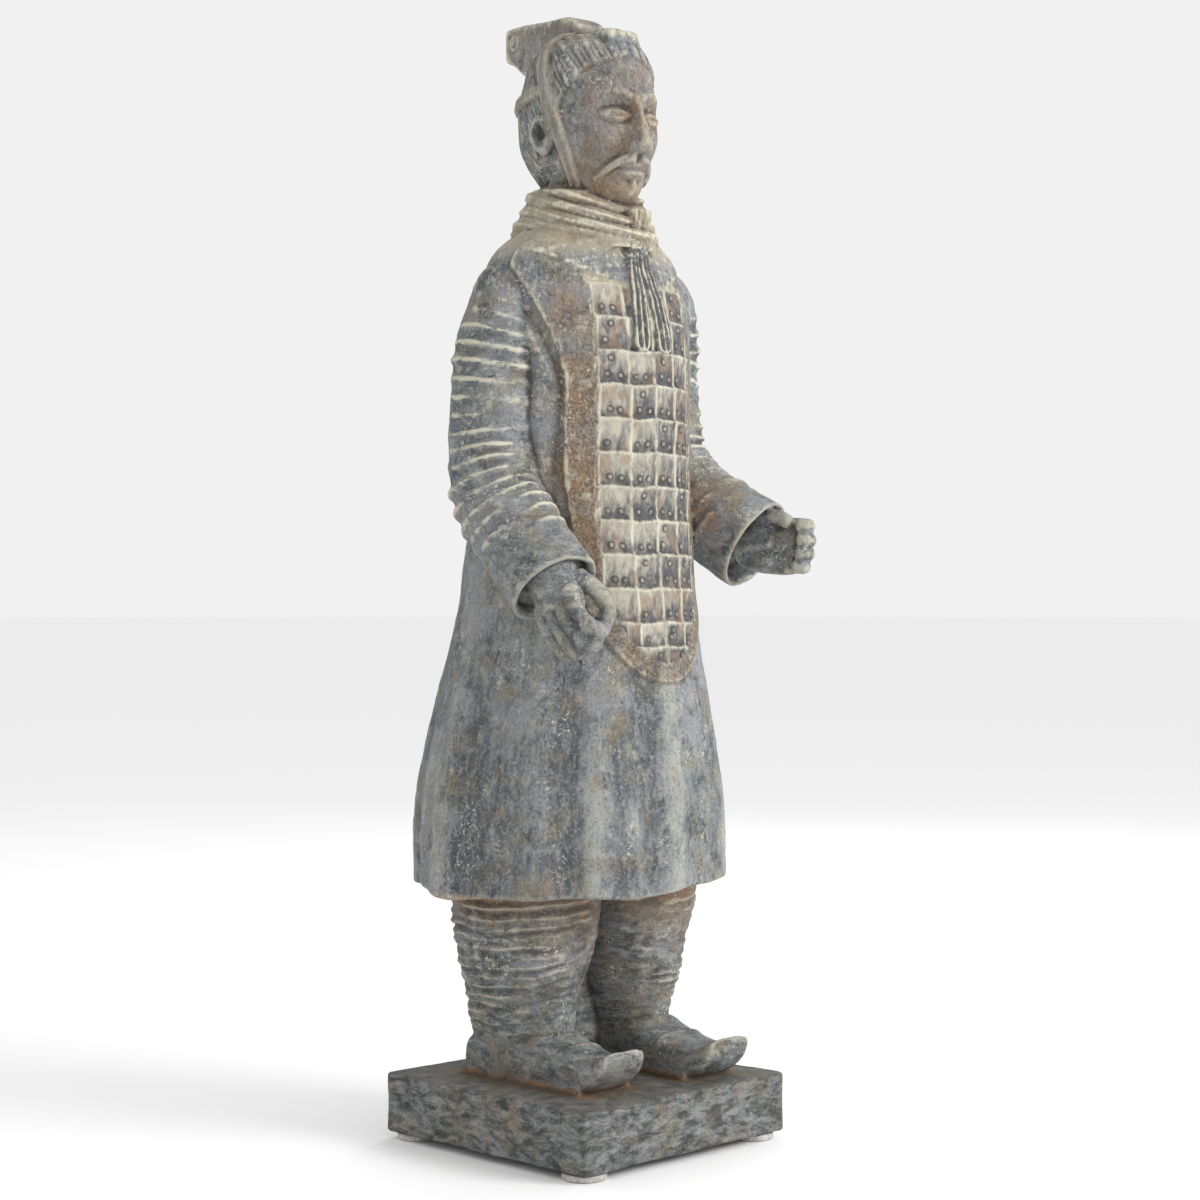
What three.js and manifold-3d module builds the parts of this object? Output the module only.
// A cast garden statue after the warriors of a buried army: a standing charioteer in a knee-length
// coat with a plated apron, cast in one with its square plinth, on four round rubber pads.
// Millimetres, +Z up. The figure looks along -Y, its right hand is at -X, and z = 0 is the floor.
import * as THREE from "three";
import { mergeVertices } from "three/addons/utils/BufferGeometryUtils.js";
import Module from "manifold-3d";

const wasm = await Module();
wasm.setup();

// How far joined forms run into one another
const SUNK = 6;

// Plinth and the pads under its corners
const PAD = { radius: 14.5, thick: 5, gap: 0.3, inset: 15.5, sides: 18 };
const PLINTH = { side: 192, thick: 40, bevel: 2.5 };
const PLINTH_TOP = PAD.thick + PLINTH.thick;

// The coat as level sections: height, half width, half depth, set-back of the section's centre
const HEM = { z: 176, rise: 4 };
const COAT = [
  [HEM.z, 109, 103, 13],
  [232, 107, 101, 13],
  [299, 95, 91, 11],
  [333, 87, 85, 10],
  [367, 81, 79, 8],
  [394, 79, 75, 7],
  [432, 77, 71, 6],
  [482, 77, 69, 5],
  [532, 80, 67, 5],
  [566, 82, 59, 4],
  [588, 77, 50, 4],
  [602, 68, 45, 3],
  [612, 54, 42, 2],
  [620, 42, 41, 1],
];
const PLEATS = { count: 11, depth: 1.6, fullZ: 250, fadeZ: 330 };
const COAT_GRID = { columns: 28, rows: 14, crowding: 1.3 };

// The plated apron: columns and rows of plates inside a trim band with a round lower end
const APRON = { half: 42, topZ: 577, roundZ: 386, roundHeight: 59, columns: 4, rows: 11 };
const PLATE = { proudTop: 2.6, proudFoot: 1.3, gap: 1.1, sunk: 2.5 };
const TRIM = { width: 14, widerUp: 4, spread: 17, proud: 2, segments: 16, straight: 0.56 };

// Sleeves: stations along the arm with centre and radius
const RIGHT_ARM = [
  [0, -50, 5, 586, 20],
  [0.14, -61, 7, 567, 28],
  [0.36, -74, 9, 520, 29],
  [0.58, -78, 7, 462, 31],
  [0.7, -81, -4, 432, 31],
  [0.85, -83, -29, 403, 30],
  [1, -84, -57, 374, 29],
];
const LEFT_ARM = [
  [0, 54, 2, 588, 22],
  [0.14, 66, 3, 571, 31],
  [0.36, 76, 7, 520, 31],
  [0.58, 80, 6, 468, 32],
  [0.7, 82, -6, 447, 33],
  [0.85, 88, -36, 426, 32],
  [1, 97, -70, 405, 32],
];
const FOLD = { count: 11, height: 2.4, valley: -0.4, tilt: 0.05 };
const CUFF = { from: 0.95, lip: 0.8 };
const ARM_SIDES = 12;

// Hands: a place at the wrist and three axes: to the fingers, along the knuckle row, to the palm.
// A finger is its place on the row, its share of full length and its radius; all fingers share one
// bend, given as steps towards the fingers and towards the palm. The thumb is given along all axes.
const RIGHT_HAND = {
  wrist: [-86, -66, 366],
  axes: [[0.05, -0.48, -0.876], [0.1, -0.87, 0.48], [0.994, 0.1, 0]],
  palm: { at: [-2, 0, -1], half: [26, 19, 13] },
  fingers: [[14, 0.86, 6.4], [4.8, 1, 6.6], [-4.6, 1, 6.3], [-13.2, 0.92, 5.7]],
  bend: [[2, -6], [17, -7.5], [29, -3], [33, 6], [27, 14], [18, 14]],
  thumb: [[-14, 13, 5], [2, 20, 11], [15, 20, 15], [24, 15, 13]],
};
const LEFT_HAND = {
  wrist: [100, -80, 405],
  axes: [[0.12, -0.985, -0.06], [0, -0.06, 1], [-0.985, -0.12, 0]],
  palm: { at: [4, 0, -2], half: [27, 21, 10] },
  fingers: [[14.4, 0.96, 5.6], [5, 1, 5.8], [-4.4, 0.98, 5.6], [-13.4, 0.9, 5.1]],
  bend: [[6, -5], [20, -5.5], [30, -2], [32, 4], [27, 8]],
  thumb: [[-12, 14, 4], [2, 18.5, 5], [14, 18, 6], [24, 15.5, 5]],
};
const THUMB_RADIUS = 6.4;

// Head and headdress, turned a little towards the figure's right
const HEAD = { z: 691, up: 57, down: 59, halfWidth: 42, frontDepth: 53, backDepth: 54, y: -4 };
const HEAD_TURN = THREE.MathUtils.degToRad(7);
const FACE = { browZ: 700, eyeZ: 689, noseZ: 667, mouthZ: 654, chinZ: 640, eyeX: 15.5 };
const NOSE = { low: 12, bridge: 3, halfLow: 8, halfBridge: 5 };
const CAP = { half: 14.5, frontY: -44, stepY: -8, crownY: 5, backY: 75 };
const CAP_Z = { inside: 716, lip: 748, front: 752, crown: 765, back: 769, foot: 745 };
const EAR = { x: 41.5, y: 1.5, z: 678, high: 10, deep: 8, thick: 5 };
const STRAP = [
  [0, 13, 3, 749, 5],
  [0.2, 32, 6, 735, 5],
  [0.4, 39, 3, 714, 5],
  [0.7, 39, -13, 676, 4.5],
  [1, 29, -25, 636, 4],
];
const MOUSTACHE = [
  [0, 1, -58, 661, 2.8],
  [0.5, 12, -53, 657, 3],
  [1, 20, -46, 647, 1.6],
];
const PLAIT = { wider: 1, backZ: 703, rise: 9, dip: 4, frontDepth: 20 };
const TAIL = { topX: 4.4, footX: 11.5, topWidth: 10, width: 16, topZ: 614, footZ: 532, lift: 7, thick: 5 };
const COLLAR = [
  [640, 37, 36, 1],
  [631, 41, 40, 0],
  [621, 46, 45, 0],
];
const ROLL = { radius: 6.3, waves: 7, wave: 0.6, dip: 3 };
const NECK = [
  [0, 0, 2, 606, 30],
  [1, 0, 4, 662, 28],
];

// Legs, shoes and the wall of stone left between the legs
const LEG = [
  [PLINTH_TOP, 27, 37, 3],
  [62, 28, 38, 4],
  [92, 32, 40, 2],
  [126, 39, 49, 1],
  [158, 44, 55, 0],
  [HEM.z + SUNK, 45, 56, 0],
];
const FEET = [
  { x: -38, y: 20, frontY: -55, heelY: 54 },
  { x: 48, y: 14, frontY: -70, heelY: 46 },
];
const SHOE = { halfWidth: 22, sole: 6, soleEdge: 1.5, instepZ: 82, vampZ: 66 };
const TOE = { z: 73, reach: 18, lift: 13 };
const WRAP = { count: 5, height: 1.4 };
const WEB = { fromX: -22, toX: 34, frontY: 14, backY: 48 };

const { lerp, clamp, smoothstep } = THREE.MathUtils;
const bump = (at, centre, width) => Math.exp(-(((at - centre) / width) ** 2));

// Smooth cubic through the rows of a table whose first column is the station
function along(table, at) {
  const last = table.length - 1;
  let i = 0;
  while (i < last - 1 && at > table[i + 1][0]) i++;
  const [a, b] = [table[i], table[i + 1]];
  const [before, after] = [table[Math.max(i - 1, 0)], table[Math.min(i + 2, last)]];
  const span = b[0] - a[0];
  const s = clamp((at - a[0]) / span, 0, 1);
  return a.slice(1).map((value, k) => {
    const next = b[k + 1];
    const slopeA = ((next - before[k + 1]) / (b[0] - before[0])) * span;
    const slopeB = ((after[k + 1] - value) / (after[0] - a[0])) * span;
    return (
      value * (2 * s ** 3 - 3 * s ** 2 + 1) +
      slopeA * (s ** 3 - 2 * s ** 2 + s) +
      next * (3 * s ** 2 - 2 * s ** 3) +
      slopeB * (s ** 3 - s ** 2)
    );
  });
}

// A closed geometry as a solid that can be joined and cut
function solid(geometry) {
  geometry.deleteAttribute("normal");
  geometry.deleteAttribute("uv");
  const merged = mergeVertices(geometry, 1e-3);
  return new wasm.Manifold(
    new wasm.Mesh({
      numProp: 3,
      vertProperties: merged.attributes.position.array,
      triVerts: new Uint32Array(merged.index.array),
    }),
  );
}

// Moves every vertex of a geometry to place(x, y, z), a point as an array
function shaped(geometry, place) {
  const spots = geometry.attributes.position;
  for (let i = 0; i < spots.count; i++)
    spots.setXYZ(i, ...place(spots.getX(i), spots.getY(i), spots.getZ(i)));
  return solid(geometry);
}

// A closed skin over level or slanting rings: place(angle, along 0 to 1, reach 0 at the axis or 1)
const skin = (columns, rows, place) =>
  shaped(new THREE.CylinderGeometry(1, 1, 1, columns, rows), (x, y, z) =>
    place(Math.atan2(x, z), y + 0.5, Math.hypot(x, z)),
  );

// A bent slab: place(across, up, out), each from -0.5 to 0.5
const slab = (across, up, place) =>
  shaped(new THREE.BoxGeometry(1, 1, 1, across, up, 1), place);

// A ball pushed into shape: place(right, back, up) of the unit sphere
const ball = (columns, rows, place) =>
  shaped(new THREE.SphereGeometry(1, columns, rows), (x, y, z) => place(x, -z, y));

const egg = (x, y, z, rx, ry, rz, columns = 14, rows = 10) =>
  ball(columns, rows, (dx, dy, dz) => [x + rx * dx, y + ry * dy, z + rz * dz]);

// A rod through stations [t, x, y, z, radius], bulging by swell(angle, t) and flattened by squash
function rod(stations, sides, rows, swell = () => 0, slant = () => 0) {
  const at = (t) => along(stations, t);
  return skin(sides, rows, (angle, t, reach) => {
    const s = t === 0 || t === 1 ? t : clamp(t + slant(angle, t), 0.002, 0.998);
    const [x, y, z, radius] = at(s);
    const [ahead, behind] = [at(Math.min(s + 0.01, 1)), at(Math.max(s - 0.01, 0))];
    const way = new THREE.Vector3(...[0, 1, 2].map((k) => ahead[k] - behind[k])).normalize();
    const side = new THREE.Vector3(1, 0, 0).addScaledVector(way, -way.x).normalize();
    const front = new THREE.Vector3().crossVectors(side, way);
    const r = reach * (radius + swell(angle, t));
    return new THREE.Vector3(x, y, z)
      .addScaledVector(side, r * Math.sin(angle))
      .addScaledVector(front, r * Math.cos(angle))
      .toArray();
  });
}

const joined = (parts) => parts.reduce((all, part) => all.add(part));

// The coat's surface point straight out from its section at an angle, front at 0
function coatPoint(angle, z, out = 0) {
  const [a, b, back] = along(COAT, z);
  const deep = PLEATS.depth * (1 - smoothstep(z, PLEATS.fullZ, PLEATS.fadeZ));
  const pleat = deep * Math.cos(PLEATS.count * angle + Math.sin(2 * angle));
  const grow = 1 + pleat / Math.hypot(a, b);
  const normal = new THREE.Vector2(Math.sin(angle) / a, -Math.cos(angle) / b).normalize();
  return [
    grow * a * Math.sin(angle) + out * normal.x,
    back - grow * b * Math.cos(angle) + out * normal.y,
    z,
  ];
}

// The coat's front point at a distance x from the middle line
const frontPoint = (x, z, out) => coatPoint(Math.asin(clamp(x / along(COAT, z)[0], -1, 1)), z, out);

function coat() {
  const top = COAT[COAT.length - 1][0];
  return skin(COAT_GRID.columns, COAT_GRID.rows, (angle, t, reach) => {
    const height = 1 - (1 - t) ** COAT_GRID.crowding;
    const z = lerp(HEM.z + HEM.rise * Math.sin(angle) * reach, top, height);
    const [x, y] = coatPoint(angle, z);
    const back = along(COAT, z)[2];
    return [reach * x, lerp(back, y, reach), z];
  });
}

// Half the apron's width at a height: straight above, an ellipse's end below
function apronHalf(z, extra = 0) {
  const down = clamp((APRON.roundZ - z) / (APRON.roundHeight + extra), 0, 1);
  return (APRON.half + extra) * Math.sqrt(1 - down ** 2);
}

function apronPlates() {
  const plates = [];
  const footZ = APRON.roundZ - APRON.roundHeight;
  const pitchZ = (APRON.topZ - footZ) / APRON.rows;
  const pitchX = (2 * APRON.half) / APRON.columns;
  for (let row = 0; row < APRON.rows; row++)
    for (let column = 0; column < APRON.columns; column++) {
      const lowZ = footZ + row * pitchZ;
      plates.push(
        slab(1, 1, (across, up, out) => {
          const z = lowZ + PLATE.gap / 2 + (up + 0.5) * (pitchZ - PLATE.gap);
          const edge = -APRON.half + (column + 0.5) * pitchX + across * (pitchX - PLATE.gap);
          const room = apronHalf(z) - PLATE.gap;
          const proud = lerp(PLATE.proudFoot, PLATE.proudTop, up + 0.5);
          return frontPoint(clamp(edge, -room, room), z, out > 0 ? proud : -PLATE.sunk);
        }),
      );
    }
  return plates.filter((plate) => plate.volume() > 1);
}

// The flat band round the apron, from one shoulder down, round the foot and up to the other,
// wider up the sides and spreading to the shoulders
function apronTrim() {
  return slab(1, TRIM.segments, (across, up, out) => {
    const side = Math.sign(up) || 1;
    const run = Math.abs(up) * 2;
    const proud = out > 0 ? TRIM.proud : -PLATE.sunk;
    if (run > 1 - TRIM.straight) {
      const climb = (run - (1 - TRIM.straight)) / TRIM.straight;
      const z = lerp(APRON.roundZ, APRON.topZ + 8, climb);
      const wider = TRIM.widerUp * smoothstep(climb, 0, 0.4) + TRIM.spread * smoothstep(climb, 0.6, 1);
      const width = TRIM.width + wider;
      return frontPoint(side * (APRON.half + (across + 0.5) * width), z, proud);
    }
    const swing = (run / (1 - TRIM.straight)) * (Math.PI / 2);
    const outward = (across + 0.5) * TRIM.width;
    const x = side * (APRON.half + outward) * Math.sin(swing);
    return frontPoint(x, APRON.roundZ - (APRON.roundHeight + outward) * Math.cos(swing), proud);
  });
}

// The scarf wound round the neck as a stack of rolled folds, lower in front
function collar() {
  return COLLAR.map(([z, a, b, y], k) =>
    ball(16, 5, (dx, dy, dz) => {
      const flat = Math.hypot(dx, dy);
      const angle = Math.atan2(dx, dy);
      const puff = ROLL.radius * flat ** 0.5 + ROLL.wave * Math.cos(ROLL.waves * angle + k);
      const [wide, deep] = flat < 1e-6 ? [0, 0] : [a - ROLL.radius + puff, b - ROLL.radius + puff];
      const lift = ROLL.dip * Math.cos(angle) * Math.min(flat * 2, 1);
      return [wide * Math.sin(angle), y + deep * Math.cos(angle), z + lift + dz * ROLL.radius * 1.15];
    }),
  );
}

// Two ribbon ends of the headdress, side by side on the chest, wider towards the foot
function ribbonTails() {
  return [-1, 1].map((side) =>
    slab(2, 6, (across, up, out) => {
      const drop = 0.5 - up;
      const z = lerp(TAIL.topZ, TAIL.footZ, drop);
      const wide = lerp(TAIL.topWidth, TAIL.width, drop);
      const x = side * lerp(TAIL.topX, TAIL.footX, drop) + across * wide;
      const crown = 1.4 * (1 - (2 * across) ** 2);
      const lift = lerp(TAIL.lift, TAIL.thick, smoothstep(drop, 0, 0.4)) + crown;
      return frontPoint(x, z, out > 0 ? lift : -PLATE.sunk);
    }),
  );
}

// Sleeves with cord-like folds slanting round the arm, and a cuff
function sleeve(stations) {
  const rows = FOLD.count * 2;
  const middle = (t) => smoothstep(t, 0, 0.3) * (1 - smoothstep(t, 0.75, 1));
  const slant = (angle, t) => FOLD.tilt * Math.sin(angle + 0.8) * middle(t);
  const swell = (angle, t) => {
    const folded = Math.round(t * rows) % 2 === 0 ? FOLD.height : FOLD.valley;
    const ripe = smoothstep(t, 0.1, 0.3) * (1 - smoothstep(t, CUFF.from - 0.02, CUFF.from + 0.02));
    return ripe * folded + (t > CUFF.from ? CUFF.lip : 0);
  };
  return rod(stations, ARM_SIDES, rows, swell, slant);
}

// A finger or thumb through its joints [x, y, z], thinner towards the tip
function finger(joints, radius, rows = 4) {
  const last = joints.length - 1;
  return rod(joints.map((joint, k) => [k / last, ...joint, radius * (1 - 0.22 * (k / last))]), 6, rows);
}

// A hand on its own axes: a round palm, four bent fingers side by side, and the thumb. The axes of
// a right hand are a left hand's mirrored, so its palm is mirrored back to keep its skin outside.
function hand({ wrist, axes, palm, fingers, bend, thumb }) {
  const at = ([out, row, inward]) =>
    wrist.map((start, k) => start + out * axes[0][k] + row * axes[1][k] + inward * axes[2][k]);
  const [ahead, knuckles, within] = axes.map((axis) => new THREE.Vector3(...axis));
  const mirror = Math.sign(ahead.cross(knuckles).dot(within));
  const half = [palm.half[0], palm.half[1] * mirror, palm.half[2]];
  const mass = ball(10, 6, (...way) => at(way.map((part, k) => palm.at[k] + half[k] * part)));
  const bent = fingers.map(([row, long, radius]) =>
    finger(bend.map(([out, inward]) => at([out * long, row, inward])), radius),
  );
  return joined([mass, ...bent, finger(thumb.map(at), THUMB_RADIUS)]);
}

// A point, with anything that follows it, turned with the head about the line through its middle
function withHead([x, y, ...rest]) {
  const spot = new THREE.Vector2(x, y).rotateAround(new THREE.Vector2(0, HEAD.y), -HEAD_TURN);
  return [spot.x, spot.y, ...rest];
}

// A table of stations on the figure's left or right side of the head
const onSide = (side, stations) =>
  stations.map(([t, x, y, z, radius]) => [t, ...withHead([side * x, y, z, radius])]);

// How far the calm, plain face stands out of the egg: nose, brows, sockets, mouth, chin, cheekbones
function faceRelief(x, z) {
  const side = Math.abs(x);
  const noseRun = clamp((FACE.eyeZ + 6 - z) / (FACE.eyeZ + 6 - FACE.noseZ), 0, 1);
  const noseFoot = smoothstep(z, FACE.noseZ - 4, FACE.noseZ + 1);
  const noseHalf = lerp(NOSE.halfBridge, NOSE.halfLow, noseRun);
  return (
    lerp(NOSE.bridge, NOSE.low, noseRun) * noseFoot * bump(x, 0, noseHalf) +
    2.2 * bump(z, FACE.browZ, 4) * bump(side, 14, 14) -
    3.2 * bump(z, FACE.eyeZ, 6) * bump(side, FACE.eyeX, 8) +
    3.2 * bump(z, FACE.mouthZ, 8) * bump(x, 0, 14) +
    4 * bump(z, FACE.chinZ, 7) * bump(x, 0, 12) +
    2.4 * bump(z, 674, 10) * bump(side, 23, 10)
  );
}

// The head: a full egg, narrower at the jaw but square in front, with the face's relief
function head() {
  return ball(22, 15, (dx, dy, dz) => {
    const turn = Math.atan2(dx, -dy);
    const around = turn - 0.45 * Math.sin(turn) * (Math.cos(turn) > 0 ? 1 : Math.sin(turn) ** 2);
    const ahead = Math.cos(around);
    const jaw = smoothstep(-dz, 0.1, 1);
    const full = Math.hypot(dx, dy) ** (0.55 + jaw * (0.2 - 0.42 * smoothstep(ahead, 0.1, 0.9)));
    const wide = HEAD.halfWidth * (1 - 0.2 * jaw);
    const deep = ahead > 0 ? HEAD.frontDepth : HEAD.backDepth * (1 - 0.2 * jaw);
    const x = wide * full * Math.sin(around);
    const z = HEAD.z + (dz > 0 ? HEAD.up : HEAD.down) * dz;
    const facing = smoothstep(ahead, 0.1, 0.5) * Math.min(4 * Math.hypot(dx, dy), 1);
    return withHead([x, HEAD.y - deep * full * ahead - faceRelief(x, z) * facing, z]);
  });
}

const moustache = () => [-1, 1].map((side) => rod(onSide(side, MOUSTACHE), 6, 4));

// Ears, and the headdress's straps in front of them
function earsAndStraps() {
  const ear = (side) =>
    ball(8, 6, (dx, dy, dz) =>
      withHead([side * EAR.x + EAR.thick * dx, EAR.y + EAR.deep * dy - 2 * dz, EAR.z + EAR.high * dz]),
    );
  return [-1, 1].flatMap((side) => [ear(side), rod(onSide(side, STRAP), 6, 6)]);
}

// The plait round the back of the head, a band that climbs towards the ears
function plait() {
  const wide = HEAD.halfWidth + PLAIT.wider;
  return skin(20, 1, (angle, t, reach) => {
    const deep = Math.cos(angle) > 0 ? PLAIT.frontDepth : HEAD.backDepth;
    return withHead([
      reach * wide * Math.sin(angle),
      HEAD.y + 2 - reach * deep * Math.cos(angle),
      PLAIT.backZ + PLAIT.rise * t + PLAIT.dip * Math.cos(angle),
    ]);
  });
}

// The headdress: a low strip over the brow and a raised part behind that overhangs the nape
function cap() {
  const front = slab(1, 3, (across, up, out) => {
    const run = 0.5 - up;
    const y = lerp(CAP.stepY + 4, CAP.frontY, run);
    const top = lerp(CAP_Z.front, CAP_Z.lip, run ** 2);
    const foot = lerp(CAP_Z.inside, CAP_Z.lip - 8, smoothstep(run, 0.6, 0.95));
    return withHead([across * 2 * CAP.half, y, out > 0 ? top : foot]);
  });
  const rear = slab(1, 5, (across, up, out) => {
    const run = up + 0.5;
    const y = lerp(CAP.stepY, CAP.backY, run);
    const rise = lerp(CAP_Z.front + 3, CAP_Z.crown, smoothstep(y, CAP.stepY, CAP.crownY));
    const top = rise + (CAP_Z.back - CAP_Z.crown) * smoothstep(y, CAP.crownY, CAP.backY);
    const foot = lerp(CAP_Z.inside, CAP_Z.foot, smoothstep(run, 0.5, 1));
    return withHead([across * 2 * CAP.half, y, out > 0 ? top : foot]);
  });
  return [front, rear];
}

function leg({ x, y }) {
  const rows = WRAP.count * 2;
  return skin(12, rows, (angle, t, reach) => {
    const z = lerp(LEG[0][0], LEG[LEG.length - 1][0], t);
    const [a, b, back] = along(LEG, z);
    const wrap = Math.round(t * rows) % 2 === 1 ? WRAP.height : 0;
    return [
      x + reach * (a + wrap) * Math.sin(angle),
      y + back - reach * (b + wrap) * Math.cos(angle),
      z,
    ];
  });
}

// A boat-shaped shoe on a thick sole, its square toe turned up
function shoe({ x, frontY, heelY }) {
  const upper = slab(4, 7, (across, up, out) => {
    const run = 0.5 - up;
    const y = lerp(heelY, frontY - TOE.reach, run);
    const narrowed = lerp(0.86, 1, smoothstep(run, 0, 0.35)) * (1 - 0.15 * smoothstep(run, 0.85, 1));
    const wide = SHOE.halfWidth * narrowed;
    const arch = 1 - 0.45 * (2 * across) ** 2;
    const instep =
      lerp(SHOE.instepZ, SHOE.vampZ, smoothstep(run, 0.42, 0.8)) +
      (TOE.z - SHOE.vampZ) * smoothstep(run, 0.82, 1);
    const top = lerp(PLINTH_TOP + SHOE.sole, instep, arch);
    const underside = PLINTH_TOP - 1 + TOE.lift * smoothstep(run, 0.87, 1);
    return [x + across * 2 * wide, y, out > 0 ? top : underside];
  });
  const sole = slab(1, 1, (across, up, out) => [
    x + across * 2 * (SHOE.halfWidth + SHOE.soleEdge),
    lerp(frontY, heelY + SHOE.soleEdge, up + 0.5),
    out > 0 ? PLINTH_TOP + SHOE.sole : PLINTH_TOP - SUNK,
  ]);
  return upper.add(sole);
}

function web() {
  return slab(1, 1, (across, up, out) => [
    lerp(WEB.fromX, WEB.toX, across + 0.5),
    lerp(WEB.frontY, WEB.backY, up + 0.5),
    out > 0 ? HEM.z + SUNK : PLINTH_TOP - SUNK,
  ]);
}

// The square block, its edges broken all round by a small bevel
function plinth() {
  const half = PLINTH.side / 2;
  const cut = PLINTH.bevel;
  const short = half - cut;
  const rounds = [[short, half], [-short, half], [-half, short], [-half, -short]];
  const corners = [...rounds, ...rounds.map(([x, y]) => [-x, -y])];
  const outline = new THREE.Shape(corners.map(([x, y]) => new THREE.Vector2(x, y)));
  const block = new THREE.ExtrudeGeometry(outline, {
    depth: PLINTH.thick - 2 * cut,
    bevelEnabled: true,
    bevelThickness: cut,
    bevelSize: cut,
    bevelOffset: -cut,
    bevelSegments: 1,
  });
  block.translate(0, 0, PAD.thick + cut);
  return solid(block);
}

function figure() {
  return joined([
    coat(),
    ...apronPlates(),
    apronTrim(),
    ...collar(),
    rod(NECK, 14, 1),
    ...ribbonTails(),
    sleeve(RIGHT_ARM),
    sleeve(LEFT_ARM),
    hand(RIGHT_HAND),
    hand(LEFT_HAND),
    head(),
    ...moustache(),
    ...earsAndStraps(),
    plait(),
    ...cap(),
    ...FEET.map(leg),
    ...FEET.map(shoe),
    web(),
    plinth(),
  ]);
}

function meshOf(manifold, name, material) {
  const { vertProperties, triVerts } = manifold.getMesh();
  const geometry = new THREE.BufferGeometry();
  geometry.setAttribute("position", new THREE.BufferAttribute(vertProperties, 3));
  geometry.setIndex(new THREE.BufferAttribute(triVerts, 1));
  geometry.computeVertexNormals();
  const mesh = new THREE.Mesh(geometry, material);
  mesh.name = name;
  return mesh;
}

const stone = new THREE.MeshStandardMaterial({ color: 0x7c7f80, roughness: 0.9, metalness: 0 });
const rubber = new THREE.MeshStandardMaterial({ color: 0xb9b4b0, roughness: 0.6, metalness: 0 });

const statue = new THREE.Group();
statue.add(meshOf(figure(), "warrior_and_plinth", stone));

// The pads end a hair below the plinth, so that the pieces touch nowhere
const padTall = PAD.thick - PAD.gap;
const padAt = PLINTH.side / 2 - PAD.inset;
for (const [name, sx, sy] of [
  ["pad_front_right", -1, -1],
  ["pad_front_left", 1, -1],
  ["pad_back_right", -1, 1],
  ["pad_back_left", 1, 1],
]) {
  const disc = new THREE.CylinderGeometry(PAD.radius, PAD.radius, padTall, PAD.sides);
  const pad = new THREE.Mesh(disc, rubber);
  pad.rotation.x = Math.PI / 2;
  pad.position.set(sx * padAt, sy * padAt, padTall / 2);
  pad.name = name;
  statue.add(pad);
}

// The origin is under the middle of the whole statue's outline, at floor level
const reach = new THREE.Box3().setFromObject(statue).getCenter(new THREE.Vector3());
statue.position.set(-reach.x, -reach.y, 0);

export default statue;
